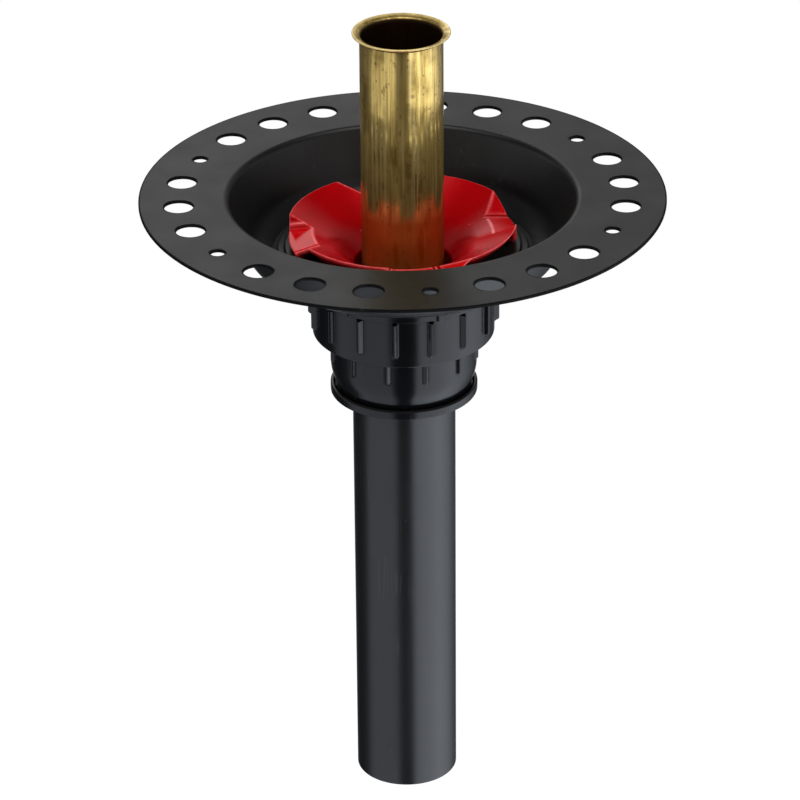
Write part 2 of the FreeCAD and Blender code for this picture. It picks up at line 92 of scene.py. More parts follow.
def finerOutline(outline, longest):
    # the same outline with every edge cut into equal parts no longer than the limit
    along = np.roll(outline, -1, 0) - outline
    parts = np.ceil(np.linalg.norm(along, axis=1) / longest).astype(int)
    edge = np.repeat(np.arange(len(outline)), parts)
    step = np.arange(len(edge)) - np.repeat(np.cumsum(parts) - parts, parts)
    return outline[edge] + along[edge] * (step / parts[edge])[:, None]


def evenAngles(count):
    return np.arange(count) * fullTurn / count


def turnedGrid(outline, angle):
    # outline carried round the axis: (r cos a, r sin a, z), rows by angle and columns along the outline
    radius, height = outline[..., 0], outline[..., 1]
    angle = np.asarray(angle)[:, None]
    return np.stack(np.broadcast_arrays(radius * np.cos(angle), radius * np.sin(angle), height), -1)


def threadCut(height, angle, pitch, depth, low, high):
    # depth of a screw thread: a rounded wave of the pitch that climbs one pitch a turn, faded at both ends
    phase = (height / pitch - angle[:, None] / fullTurn) % 1
    fade = smoothStep((height - low) / pitch) * smoothStep((high - height) / pitch)
    return depth * smoothStep(1.6 - 3.2 * np.abs(phase - 0.5)) * fade


def gridQuads(rows, columns, closeRows, closeColumns):
    # four corners of every cell of a grid, wrapped round where it is closed
    row, column = np.meshgrid(
        np.arange(rows if closeRows else rows - 1),
        np.arange(columns if closeColumns else columns - 1),
        indexing="ij",
    )
    nextRow, nextColumn = (row + 1) % rows, (column + 1) % columns
    quads = [row * columns + column, nextRow * columns + column,
             nextRow * columns + nextColumn, row * columns + nextColumn]
    return np.stack(quads, -1).reshape(-1, 4)


def makePiece(name, patches, body, nodes, material):
    # patches of (grid, rows closed, columns closed, edge tone) become one mesh with its seams merged; the edge
    # tone is 1 where an edge is painted pale as a highlight (on the pipe's sawn foot a real pale burr) and -1
    # where painted shade darkens an edge
    points, faces, tones, count = [], [], [], 0
    for grid, closeRows, closeColumns, tone in patches:
        faces.append(gridQuads(grid.shape[0], grid.shape[1], closeRows, closeColumns) + count)
        points.append(grid.reshape(-1, 3) * mm)
        tones.append(np.broadcast_to(tone, grid.shape[:2]).ravel())
        count += len(points[-1])
    mesh = bpy.data.meshes.new(name)
    mesh.from_pydata(np.concatenate(points).tolist(), [], np.concatenate(faces).tolist())
    mesh.attributes.new("edgeTone", "FLOAT", "POINT").data.foreach_set("value", np.concatenate(tones))
    if len(patches) > 1:
        work = bmesh.new()
        work.from_mesh(mesh)
        bmesh.ops.remove_doubles(work, verts=work.verts, dist=1e-6)
        work.to_mesh(mesh)
        work.free()
    mesh.polygons.foreach_set("use_smooth", np.ones(len(mesh.polygons), bool))
    mesh.materials.append(material)
    piece = bpy.data.objects.new(name, mesh)
    bpy.context.scene.collection.objects.link(piece)
    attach(piece, body)
    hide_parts(*nodes)
    print("piece", name, len(mesh.polygons), "faces")


# Shader helpers


def put(tree, kind, inputs=None, **settings):  # a node with its settings, values and links in one line
    node = tree.nodes.new(kind)
    for key, value in settings.items():
        setattr(node, key, value)
    for key, value in (inputs or {}).items():
        if isinstance(value, bpy.types.NodeSocket):
            tree.links.new(value, node.inputs[key])
        else:
            node.inputs[key].default_value = value
    return node


def math(tree, operation, *values, clamp=False):
    return put(tree, "ShaderNodeMath", dict(enumerate(values)), operation=operation, use_clamp=clamp).outputs[0]


def blendColor(tree, factor, a, b):
    return put(tree, "ShaderNodeMix", {0: factor, 6: a, 7: b}, data_type="RGBA").outputs[2]


def spread(tree, value, low, high, toLow=0.0, toHigh=1.0):  # a value stretched from one range to another
    node = put(tree, "ShaderNodeMapRange", {"Value": value, "From Min": low, "From Max": high,
                                            "To Min": toLow, "To Max": toHigh})
    return node.outputs["Result"]


def colorRamp(tree, factor, stops):
    node = put(tree, "ShaderNodeValToRGB", {"Fac": factor})
    ramp = node.color_ramp
    ramp.elements[0].position, ramp.elements[0].color = stops[0]
    ramp.elements[1].position, ramp.elements[1].color = stops[-1]
    for position, color in stops[1:-1]:
        ramp.elements.new(position).color = color
    return node.outputs["Color"]


def noise(tree, place, scale, detail=2.0):
    return put(tree, "ShaderNodeTexNoise", {"Vector": place, "Scale": scale, "Detail": detail}).outputs["Fac"]


def stretched(tree, place, scale):
    return put(tree, "ShaderNodeMapping", {"Vector": place, "Scale": scale}).outputs[0]


def grey(level):
    return (level, level, level, 1)


def effectGroup(name, inputs, outputs):  # an empty node group with named value sockets
    group = bpy.data.node_groups.new(name, "ShaderNodeTree")
    for label, value in inputs.items():
        group.interface.new_socket(label, in_out="INPUT", socket_type="NodeSocketFloat").default_value = value
    for label in outputs:
        group.interface.new_socket(label, in_out="OUTPUT", socket_type="NodeSocketFloat")
    return group, put(group, "NodeGroupInput").outputs, put(group, "NodeGroupOutput").inputs


def newMaterial(name):
    material = bpy.data.materials.new(name)
    material.use_nodes = True
    tree = material.node_tree
    return material, tree, tree.nodes["Principled BSDF"]


def useGroup(tree, group, **values):
    node = put(tree, "ShaderNodeGroup", node_tree=group)
    for label, value in values.items():
        node.inputs[label].default_value = value
    return node.outputs


def bumpFrom(tree, shader, height, strength, distance):
    bump = put(tree, "ShaderNodeBump", {"Strength": strength, "Distance": distance, "Height": height})
    tree.links.new(bump.outputs["Normal"], shader.inputs["Normal"])


def mouldGrainGroup():  # fine pebble of a moulded face, with slow waves of the tool below it
    group, given, out = effectGroup("mouldGrain", {"Scale": 900.0, "Wave": 60.0}, ["Grain", "Wave"])
    place = put(group, "ShaderNodeTexCoord").outputs["Object"]
    group.links.new(noise(group, place, given["Scale"], 3.0), out["Grain"])
    group.links.new(noise(group, place, given["Wave"]), out["Wave"])
    return group


def specksGroup():  # scattered dots: their centres come from a cell pattern and only a share of them shows
    group, given, out = effectGroup("dustSpecks", {"Scale": 260.0, "Size": 0.12, "Share": 0.3}, ["Mask"])
    place = put(group, "ShaderNodeTexCoord").outputs["Object"]
    cells = put(group, "ShaderNodeTexVoronoi", {"Vector": place, "Scale": given["Scale"]})
    pick = put(group, "ShaderNodeSeparateColor", {"Color": cells.outputs["Color"]}).outputs["Red"]
    chosen = math(group, "LESS_THAN", pick, given["Share"])
    dot = math(group, "LESS_THAN", cells.outputs["Distance"], given["Size"])
    group.links.new(math(group, "MULTIPLY", chosen, dot), out["Mask"])
    return group


def scuffsGroup():  # hair scratches: thin level lines of a long-drawn noise, broken up by a coarse one
    sockets = {"Across": 220.0, "Along": 12.0, "Width": 0.012}
    group, given, out = effectGroup("handlingScuffs", sockets, ["Mask"])
    patchScale, patchBand = 45.0, (0.5, 0.66)
    place = put(group, "ShaderNodeTexCoord").outputs["Object"]
    across, along = given["Across"], given["Along"]
    stretch = put(group, "ShaderNodeCombineXYZ", {"X": across, "Y": across, "Z": along}).outputs[0]
    drawn = put(group, "ShaderNodeVectorMath", {0: place, 1: stretch}, operation="MULTIPLY").outputs[0]
    off = math(group, "ABSOLUTE", math(group, "SUBTRACT", noise(group, drawn, 1.0, 1.0), 0.5))
    thin = math(group, "LESS_THAN", off, given["Width"])
    patch = spread(group, noise(group, place, patchScale), *patchBand)
    group.links.new(math(group, "MULTIPLY", thin, patch), out["Mask"])
    return group


def edgesGroup():  # the edge tone, split into painted highlight (a real burr on the pipe's foot) and painted shade, the pale part broken up
    group, given, out = effectGroup("edgeTones", {"Rubbed": 0.5, "Dark": 0.5}, ["Rubbed", "Dark"])
    paleBreakScale, paleBreakBand, paleBreakLeast = 240.0, (0.3, 0.6), 0.6
    tone = put(group, "ShaderNodeAttribute", attribute_name="edgeTone").outputs["Fac"]
    place = put(group, "ShaderNodeTexCoord").outputs["Object"]
    broken = spread(group, noise(group, place, paleBreakScale), *paleBreakBand, paleBreakLeast, 1.0)
    highlightAndBurr = math(group, "MULTIPLY", math(group, "MULTIPLY", tone, given["Rubbed"], clamp=True), broken)
    paintedShade = math(group, "MULTIPLY", math(group, "MULTIPLY", tone, -1.0, clamp=True), given["Dark"])
    group.links.new(highlightAndBurr, out["Rubbed"])
    group.links.new(paintedShade, out["Dark"])
    return group


mouldGrain = mouldGrainGroup()
dustSpecks = specksGroup()
scuffs = scuffsGroup()
edgeTones = edgesGroup()


plasticMakeup = {  # what all the plastics share
    "waveBand": (0.3, 0.7), "speckShow": 0.5, "scuffShow": 0.35, "paintedShadeDull": 0.3, "markDull": 0.3,
    "sheen": 0.5, "paintedShadeSheen": 0.1, "grainDepth": 0.0002,
}


def plasticMaterial(name, look):
    # moulded plastic: a base colour that drifts with the mould wave, painted highlight on pale edges and painted
    # shade on dark ones, specks and scuffs paler and duller, less sheen in the painted shade, and the grain in
    # the bump
    material, tree, shader = newMaterial(name)
    makeup = plasticMakeup
    grain = useGroup(tree, mouldGrain, Scale=look["grainScale"], Wave=look["waveScale"])
    specks = useGroup(tree, dustSpecks, Share=look["dust"])["Mask"]
    lines = useGroup(tree, scuffs, Along=look["scuffAlong"], Width=look["scuffWidth"])["Mask"]
    edges = useGroup(tree, edgeTones, Rubbed=look["highlightAndBurr"], Dark=look["paintedShade"])
    base = blendColor(tree, spread(tree, grain["Wave"], *makeup["waveBand"]), look["color"], look["drift"])
    # painted shade darkens the dark edges, then painted highlight lightens the pale ones
    base = blendColor(tree, edges["Dark"], base, look["edgeDark"])
    base = blendColor(tree, edges["Rubbed"], base, look["highlightAndBurrColor"])
    marks = math(tree, "MAXIMUM", math(tree, "MULTIPLY", specks, makeup["speckShow"]),
                 math(tree, "MULTIPLY", lines, makeup["scuffShow"]))
    tree.links.new(blendColor(tree, marks, base, look["mark"]), shader.inputs["Base Color"])
    rough = spread(tree, grain["Wave"], *makeup["waveBand"], look["rough"] - look["roughDrift"],
                   look["rough"] + look["roughDrift"])
    rough = math(tree, "ADD", rough, math(tree, "MULTIPLY", edges["Dark"], makeup["paintedShadeDull"]))
    rough = math(tree, "ADD", rough, math(tree, "MULTIPLY", marks, makeup["markDull"]))
    tree.links.new(rough, shader.inputs["Roughness"])
    shader.inputs["IOR"].default_value = look["ior"]
    # the painted shade also takes sheen away
    sheen = spread(tree, edges["Dark"], 0.0, 1.0, makeup["sheen"], makeup["paintedShadeSheen"])
    tree.links.new(sheen, shader.inputs["Specular IOR Level"])
    if "scatter" in look:  # light that goes into a thin wall and comes out beside or behind
        shader.inputs["Subsurface Weight"].default_value = look["scatter"]
        shader.inputs["Subsurface Radius"].default_value = look["scatterReach"]
        shader.inputs["Subsurface Scale"].default_value = 1.0
    bumpFrom(tree, shader, grain["Grain"], look["bump"], makeup["grainDepth"])
    return material


plainLook = {  # common to the black plastics unless one of them says otherwise
    "mark": grey(0.05), "highlightAndBurrColor": grey(0.05), "edgeDark": grey(0.001), "highlightAndBurr": 0.5, "paintedShade": 0.8,
    "roughDrift": 0.03, "ior": 1.5, "bump": 0.05, "dust": 0.05,
}
flangeLook = {
    **plainLook, "color": grey(0.0055), "drift": grey(0.0045), "paintedShade": 0.95, "rough": 0.36, "bump": 0.22,
    "grainScale": 1400.0, "waveScale": 40.0, "scuffAlong": 120.0, "scuffWidth": 0.004,
}
nutLook = {
    **plainLook, "color": (0.0034, 0.0034, 0.0040, 1), "drift": (0.0026, 0.0026, 0.0031, 1),
    "mark": grey(0.03), "highlightAndBurrColor": grey(0.03), "rough": 0.17, "ior": 1.44,
    "grainScale": 900.0, "waveScale": 45.0, "scuffAlong": 14.0, "scuffWidth": 0.005,
}
pipeLook = {
    **plainLook, "color": (0.0060, 0.0060, 0.0066, 1), "drift": (0.0046, 0.0046, 0.0051, 1),
    "highlightAndBurrColor": grey(0.04), "highlightAndBurr": 0.6, "rough": 0.28, "ior": 1.55,
    "grainScale": 700.0, "waveScale": 30.0, "scuffAlong": 5.0, "scuffWidth": 0.006,
}
bodyLook = {
    **plainLook, "color": (0.008, 0.0075, 0.007, 1), "drift": (0.006, 0.0055, 0.005, 1),
    "mark": grey(0.06), "rough": 0.34, "roughDrift": 0.05, "bump": 0.12, "dust": 0.06,
    "grainScale": 1100.0, "waveScale": 50.0, "scuffAlong": 30.0, "scuffWidth": 0.005,
}
redLook = {
    "color": (0.37, 0.0010, 0.0026, 1), "drift": (0.32, 0.0008, 0.0022, 1), "mark": (0.55, 0.07, 0.07, 1),
    # pink painted highlight along the nut's edges, dark red painted shade in its grooves
    "highlightAndBurrColor": (0.80, 0.16, 0.17, 1), "edgeDark": (0.035, 0.0005, 0.001, 1),
    "scatter": 0.4, "scatterReach": (0.004, 0.0004, 0.0005),
    "highlightAndBurr": 0.62, "paintedShade": 0.95, "rough": 0.15, "roughDrift": 0.03, "ior": 1.42,
    "bump": 0.04, "grainScale": 800.0, "waveScale": 55.0, "dust": 0.03,
    "scuffAlong": 40.0, "scuffWidth": 0.003,
}
paleLook = {
    "color": (0.60, 0.58, 0.52, 1), "drift": (0.54, 0.52, 0.46, 1), "mark": grey(0.70),
    "highlightAndBurrColor": grey(0.7), "edgeDark": grey(0.3),
    "highlightAndBurr": 0.3, "paintedShade": 0.5, "rough": 0.35, "roughDrift": 0.05, "ior": 1.5,
    "bump": 0.10, "grainScale": 900.0, "waveScale": 60.0, "dust": 0.04,
    "scuffAlong": 40.0, "scuffWidth": 0.004,
}
rubberLook = {
    "color": grey(0.012), "drift": grey(0.009), "mark": grey(0.05),
    "highlightAndBurrColor": grey(0.03), "edgeDark": grey(0.004),
    "highlightAndBurr": 0.4, "paintedShade": 0.6, "rough": 0.70, "roughDrift": 0.08, "ior": 1.5,
    "bump": 0.35, "grainScale": 1200.0, "waveScale": 70.0, "dust": 0.15,
    "scuffAlong": 40.0, "scuffWidth": 0.004,
}
brassLook = {
    "metal": (0.72, 0.50, 0.15, 1), "film": (0.24, 0.15, 0.032, 1), "glint": (0.84, 0.66, 0.29, 1),
    # the bore colour is painted shade inside the tube
    "tarnishAndRedReflection": (0.30, 0.085, 0.006, 1), "speck": (0.09, 0.06, 0.02, 1), "bore": (0.02, 0.008, 0.002, 1),
    "runScale": 300.0, "runStretch": (1.0, 1.0, 0.10), "lineScale": 1000.0, "lineStretch": (1.0, 1.0, 0.02),
    "cloudScale": 70.0, "blotScale": 330.0, "blotStretch": (1.0, 1.0, 0.6),
    "cloudBand": (0.36, 0.62), "runBand": (0.34, 0.60), "blotBand": (0.58, 0.70), "blotFilm": 0.85,
    "dimLineBand": (0.50, 0.36), "dimLineFilm": 0.7, "glintBand": (0.52, 0.72), "glintShow": 0.6,
    "lowBand": (0.045, -0.005), "lowRunBand": (0.66, 0.42),
    # orange low down: tarnish with a painted reflection of the red nut
    "tarnishAndRedReflectionBand": (0.008, -0.006), "tarnishAndRedReflectionFilm": 0.9, "tarnishAndRedReflectionGlint": 0.1,
    "speckScale": 420.0, "speckSize": 0.22, "speckShare": 0.15, "speckShow": 0.7,
    "highlightAndBurr": 0.7, "paintedShade": 1.0, "metallic": (0.82, 0.84), "highlightMetalLoss": 0.5,
    "roughBand": (0.3, 0.7), "rough": (0.06, 0.14), "filmDull": 0.14, "paintedShadeDull": 0.3,
    "runRelief": 0.8, "bump": 0.07, "bumpDepth": 0.0003,
}


def brassMaterial(look):
    # drawn brass with age: bright metal, brown film in clouds and vertical runs and more of it towards the
    # bottom, orange low down as tarnish with a painted reflection of the red nut, dark specks, drawing lines;
    # painted highlight on the lip, painted shade in the bore
    material, tree, shader = newMaterial("agedBrass")
    place = put(tree, "ShaderNodeTexCoord").outputs["Object"]
    run = noise(tree, stretched(tree, place, look["runStretch"]), look["runScale"], 4.0)
    line = noise(tree, stretched(tree, place, look["lineStretch"]), look["lineScale"], 3.0)
    cloud = noise(tree, place, look["cloudScale"], 5.0)
    blot = noise(tree, stretched(tree, place, look["blotStretch"]), look["blotScale"], 4.0)
    height = put(tree, "ShaderNodeSeparateXYZ", {0: place}).outputs["Z"]
    # more film towards the bottom, darker and browner there
    low = spread(tree, height, *look["lowBand"])
    # orange low down, beside the red nut: tarnish with a painted reflection of the nut
    tarnishAndRedReflectionZone = spread(tree, height, *look["tarnishAndRedReflectionBand"])
    film = math(tree, "MULTIPLY", spread(tree, cloud, *look["cloudBand"]), spread(tree, run, *look["runBand"]))
    film = math(tree, "MAXIMUM", film, spread(tree, blot, *look["blotBand"], 0.0, look["blotFilm"]))
    film = math(tree, "MAXIMUM", film, spread(tree, line, *look["dimLineBand"], 0.0, look["dimLineFilm"]))
    film = math(tree, "MAXIMUM", film, math(tree, "MULTIPLY", low, spread(tree, run, *look["lowRunBand"])))
    film = math(tree, "MAXIMUM", film, math(tree, "MULTIPLY", tarnishAndRedReflectionZone, look["tarnishAndRedReflectionFilm"]))
    filmColor = blendColor(tree, tarnishAndRedReflectionZone, look["film"], look["tarnishAndRedReflection"])
    base = blendColor(tree, film, look["metal"], filmColor)
    glint = math(tree, "MULTIPLY", spread(tree, line, *look["glintBand"], 0.0, look["glintShow"]),
                 spread(tree, tarnishAndRedReflectionZone, 1.0, 0.0, look["tarnishAndRedReflectionGlint"], 1.0))
    base = blendColor(tree, glint, base, look["glint"])
    specks = useGroup(tree, dustSpecks, Scale=look["speckScale"], Size=look["speckSize"],
                      Share=look["speckShare"])["Mask"]
    base = blendColor(tree, math(tree, "MULTIPLY", specks, look["speckShow"]), base, look["speck"])
    # painted highlight on the lip: a pale colour and less metal, so it shows bright under any light; painted
    # shade in the bore
    edges = useGroup(tree, edgeTones, Rubbed=look["highlightAndBurr"], Dark=look["paintedShade"])
    base = blendColor(tree, edges["Rubbed"], base, look["glint"])
    base = blendColor(tree, edges["Dark"], base, look["bore"])
    tree.links.new(base, shader.inputs["Base Color"])
    metallic = spread(tree, math(tree, "MULTIPLY", film, low), 0.0, 1.0, *look["metallic"])
    lost = math(tree, "MULTIPLY", edges["Rubbed"], look["highlightMetalLoss"])
    tree.links.new(math(tree, "SUBTRACT", metallic, lost, clamp=True), shader.inputs["Metallic"])
    rough = spread(tree, run, *look["roughBand"], *look["rough"])
    rough = math(tree, "ADD", rough, math(tree, "MULTIPLY", film, look["filmDull"]))
    rough = math(tree, "ADD", rough, math(tree, "MULTIPLY", edges["Dark"], look["paintedShadeDull"]))
    tree.links.new(rough, shader.inputs["Roughness"])
    relief = math(tree, "ADD", line, math(tree, "MULTIPLY", run, look["runRelief"]))
    bumpFrom(tree, shader, relief, look["bump"], look["bumpDepth"])
    return material


flangePlastic = plasticMaterial("flangePlastic", flangeLook)
nutPlastic = plasticMaterial("nutPlastic", nutLook)
pipePlastic = plasticMaterial("pipePlastic", pipeLook)
bodyPlastic = plasticMaterial("bodyPlastic", bodyLook)
redPlastic = plasticMaterial("redPlastic", redLook)
palePlastic = plasticMaterial("palePlastic", paleLook)
blackRubber = plasticMaterial("blackRubber", rubberLook)
agedBrass = brassMaterial(brassLook)
print("materials made")

cadFinishes = {
    "body_gasket": blackRubber, "slip_seal": blackRubber, "coupling_washer": blackRubber,
    "thrust_ring": palePlastic,
}
for node, material in cadFinishes.items():
    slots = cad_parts[node].data.materials
    slots.clear()
    slots.append(material)

# Floor flange

flangeFoot, flangeTop = spanOf("mounting_flange")
flangeSizes = {
    "plateRadius": 121.0, "edgeRound": 0.35, "thick": flangeTop,
    "recessRadius": 80.0, "recessFloor": 69.0, "holeRadius": 39.1,
    "edgeFillet": 3.0, "floorFillet": 12.0,
    "ringRadius": 102.8, "ringInner": 90.0, "ringOuter": 115.5, "ringStep": 15.0, "ringFirst": 6.0,
    "largeHole": 6.7, "screwHole": 3.25, "screwPlace": 2, "holesInTurn": 4, "holeBevel": 0.2,
    "patchArc": 12, "patchSide": 12, "drawnIn": (0.0, 0.25, 0.5, 0.75, 0.92, 1.0),
    "boreRound": 0.3, "underRound": 0.6, "rimDark": 0.7, "rimDarkBlend": 0.3,
}


def flangePatches(size):
    top, under = flangeTop, flangeTop - size["thick"]
    floorTop = flangeFoot + size["thick"]
    lean = (size["recessRadius"] - size["recessFloor"]) / (top - floorTop)
    wall = size["thick"] * (np.sqrt(1 + lean * lean) - lean)
    sectors = round(360 / size["ringStep"])
    arc, side = size["patchArc"], size["patchSide"]
    first = np.radians(size["ringFirst"] - size["ringStep"] / 2)
    angle = first + evenAngles(sectors * arc)

    # dish: from the ring's inner edge through the recess to the hole and back underneath
    dish = roundedOutline([
        (size["recessRadius"], top, size["edgeFillet"]),
        (size["recessFloor"], floorTop, size["floorFillet"]),
        (size["holeRadius"], floorTop, size["boreRound"]),
        (size["holeRadius"], flangeFoot, size["boreRound"]),
        (size["recessFloor"] + wall, flangeFoot, size["floorFillet"] + size["thick"]),
        (size["recessRadius"] + wall, under, size["underRound"]),
        (size["ringInner"], under, 0.0),
        (size["ringInner"], top, 0.0),
    ], steps=9)
    dish = dish.reshape(8, -1, 2)[:6].reshape(-1, 2)  # the last two corners only close it for the rounding
    dish = np.concatenate([[(size["ringInner"], top)], dish, [(size["ringInner"], under)]])
    rim = roundedOutline([
        (size["ringOuter"], under, 0.0),
        (size["plateRadius"], under, size["edgeRound"]),
        (size["plateRadius"], top, size["edgeRound"]),
        (size["ringOuter"], top, 0.0),
    ])
    rim = rim.reshape(4, -1, 2)[1:3].reshape(-1, 2)
    rim = np.concatenate([[(size["ringOuter"], under)], rim, [(size["ringOuter"], top)]])
    # painted shade on the plate's outer edge
    rimTone = -smoothStep((rim[:, 0] - size["plateRadius"] + size["rimDark"]) / size["rimDarkBlend"])

    # ring: each sector's border is drawn in to the circle of its hole, border*(1-v) + circle*v
    place = np.arange(sectors)
    middle = np.radians(size["ringFirst"] + place * size["ringStep"])
    hole = np.where(place % size["holesInTurn"] == size["screwPlace"], size["screwHole"], size["largeHole"])
    half = np.radians(size["ringStep"] / 2)
    across = np.linspace(-half, half, arc + 1)[:-1]
    along = np.linspace(size["ringInner"], size["ringOuter"], side + 1)
    borderAngle = np.concatenate([across, np.full(side, half), -across, np.full(side, -half)])
    borderRadius = np.concatenate([np.full(arc, along[0]), along[:-1], np.full(arc, along[-1]), along[:0:-1]])
    border = np.stack([borderRadius * np.cos(borderAngle) - size["ringRadius"],
                       borderRadius * np.sin(borderAngle)], -1)
    outward = border / np.linalg.norm(border, axis=1, keepdims=True)
    share = np.array(size["drawnIn"])[:, None, None]

    def atHeight(rows, height):
        return np.concatenate([rows, np.full(rows.shape[:-1] + (1,), height)], -1)

    circle = outward * (hole + size["holeBevel"])[:, None, None, None]
    rows = border * (1 - share) + circle * share
    wallRow = outward * hole[:, None, None, None]
    local = np.concatenate([atHeight(rows, top), atHeight(wallRow, top - size["holeBevel"]),
                            atHeight(wallRow, under + size["holeBevel"]), atHeight(rows[:, ::-1], under)], 1)
    flat = np.zeros(len(share) - 1)
    tone = np.concatenate([flat, np.full(4, -1), flat])[:, None]  # painted shade on the bevels and the hole's wall
    cosine, sine = np.cos(middle)[:, None, None], np.sin(middle)[:, None, None]
    reach = local[..., 0] + size["ringRadius"]
    world = np.stack([reach * cosine - local[..., 1] * sine, reach * sine + local[..., 1] * cosine,
                      local[..., 2]], -1)
    patches = [(turnedGrid(dish, angle), True, False, 0), (turnedGrid(rim, angle), True, False, rimTone)]
    return patches + [(sector, False, True, tone) for sector in world]


makePiece("floorFlange", flangePatches(flangeSizes), "floor_body", ["mounting_flange"],
          flangePlastic)

# Drain body: stepped flange in the recess, threaded barrel, sleeve and spigot

bodyFoot, bodyTop = spanOf("drain_body")
bodySizes = {
    "flange": 57.97, "step": 54.47, "flangeThick": 4.0, "stepDrop": 1.5, "mouthBevel": 10.2, "bore": 26.8,
    "spigot": 31.0, "coreWall": 35.0, "barrel": 38.5, "barrelLength": 33.5, "coreDepth": 26.0,
    "seatDepth": 41.5, "sealTaper": 10.0, "sealFoot": 22.5, "shelfHole": 20.0, "shelfThick": 3.0,
    "pitch": 3.0, "threadDepth": 0.45, "threadStart": 1.0, "barrelEnd": 4.0, "spigotEnd": 2.0,
    "sameRadius": 0.01, "edgeLength": 0.6, "turns": 160,
    "topFrom": 0.5, "stepLineAt": 0.4, "stepLine": 0.35, "flangeLine": 0.4,
}


def drainBodyGrid(size):
    bore, spigot, core, barrel, flange, step, hole = (
        size[key] for key in ("bore", "spigot", "coreWall", "barrel", "flange", "step", "shelfHole"))
    seat, ledge = bodyTop - size["flangeThick"], bodyTop - size["stepDrop"]
    barrelFoot = seat - size["barrelLength"]
    coreTop = barrelFoot + size["coreDepth"]
    shelf = bodyTop - size["seatDepth"]
    under = shelf - size["shelfThick"]
    outline = roundedOutline([
        (bore, bodyFoot, 0.3), (spigot, bodyFoot, 0.5), (spigot, coreTop, 0.4), (core, coreTop, 0.4),
        (core, barrelFoot, 0.3), (barrel, barrelFoot, 0.6), (barrel, seat, 0.2), (flange, seat, 0.4),
        (flange, ledge, 0.4), (step, ledge, 0.3), (step, bodyTop, 0.4),
        (bore + size["mouthBevel"], bodyTop, 0.5), (bore, bodyTop - size["mouthBevel"], 0.5),
        (bore, shelf + size["sealTaper"], 0.3), (size["sealFoot"], shelf, 0.2),
        (hole, shelf, 0.2), (hole, under, 0.2), (bore, under, 0.3),
    ], steps=4)
    fine = finerOutline(outline, size["edgeLength"])
    radius, height = fine[:, 0], fine[:, 1]
    angle = evenAngles(size["turns"])
    onBarrel = np.abs(radius - barrel) < size["sameRadius"]
    onSpigot = (np.abs(radius - spigot) < size["sameRadius"]) & (height < barrelFoot)
    thread = size["pitch"], size["threadDepth"]
    barrelCut = threadCut(height, angle, *thread, barrelFoot + size["threadStart"], seat - size["barrelEnd"])
    spigotCut = threadCut(height, angle, *thread, bodyFoot + size["threadStart"], barrelFoot - size["spigotEnd"])
    cut = np.where(onBarrel, barrelCut, 0) + np.where(onSpigot, spigotCut, 0)
    outline = np.stack(np.broadcast_arrays(radius - cut, height), -1)

    # painted shade lines where the flange and its step end
    onTop = height > seat + size["topFrom"]
    stepEdge = np.exp(-((radius - step - size["stepLineAt"]) / size["stepLine"]) ** 2)
    flangeEdge = np.exp(-((radius - flange) / size["flangeLine"]) ** 2)
    return turnedGrid(outline, angle), -np.where(onTop, np.clip(stepEdge + flangeEdge, 0, 1), 0)


bodyGrid, bodyTone = drainBodyGrid(bodySizes)
makePiece("drainBody", [(bodyGrid, True, True, bodyTone)], "floor_body", ["drain_body"],
          bodyPlastic)

# Red hand nut

nutFoot, nutHead = spanOf("compression_nut")
handNutSizes = {
    "throat": 22.6, "shank": 26.5, "rim": 52.6, "breakRadius": 31.0,
    "throatHeight": 18.0, "breakHeight": 28.0, "wall": 2.2,
    "pockets": 4, "pocketTurn": 14.5, "halfAngle": 20.9, "rampAngle": 5.5,
    "depth": 8.0, "floorSlope": 0.168, "notch": 0.7, "groove": 1.2, "grooveApart": 1.1, "grooveWidth": 0.8,
    "edgeBlend": 0.5, "breakBlend": 2.5, "wallLean": 9.0, "ledge": 2.4, "ledgeWidth": 0.5,
    "grooveShift": 0.3, "rimRound": 0.5, "underRim": 51.2, "skirt": 2.4, "skirtInner": 38.0, "skirtBlend": 6.0,
    "threadPitch": 3.0, "threadDepth": 0.5, "threadFoot": 0.2, "threadTop": 16.0,
    # mesh: columns in a pocket and (angle, width, height) of the peaks of their density, rows of the section
    "columns": 124, "leastDense": 0.7, "densePeaks": ((-22.2, 1.6, 5.5), (5.8, 2.4, 4.5), (21.0, 1.5, 2.0)),
    "shankRows": (0.6, 19.0, 0.35), "shankEnd": 19.4, "underFirst": 27.2, "underStep": 0.8,
    "upperBreak": 32.0, "upperEnd": 22.9, "outerStep": 0.35, "innerStep": 0.45,
    "boreHeights": (17.5, 17.0, 12.0, 6.0, 0.4, 0.0),
    # painted highlight and painted shade along edges
    "crossLine": 0.45, "crossInner": 38.0, "crossBlend": 4.0, "rimHighlight": 0.8, "rimBlend": 0.4,
    "ridgeHighlight": 0.6, "ridgeWidth": 2.2, "ridgeFlat": 1.4, "ledgeFlat": 1.6, "pocketMargin": 0.3,
}


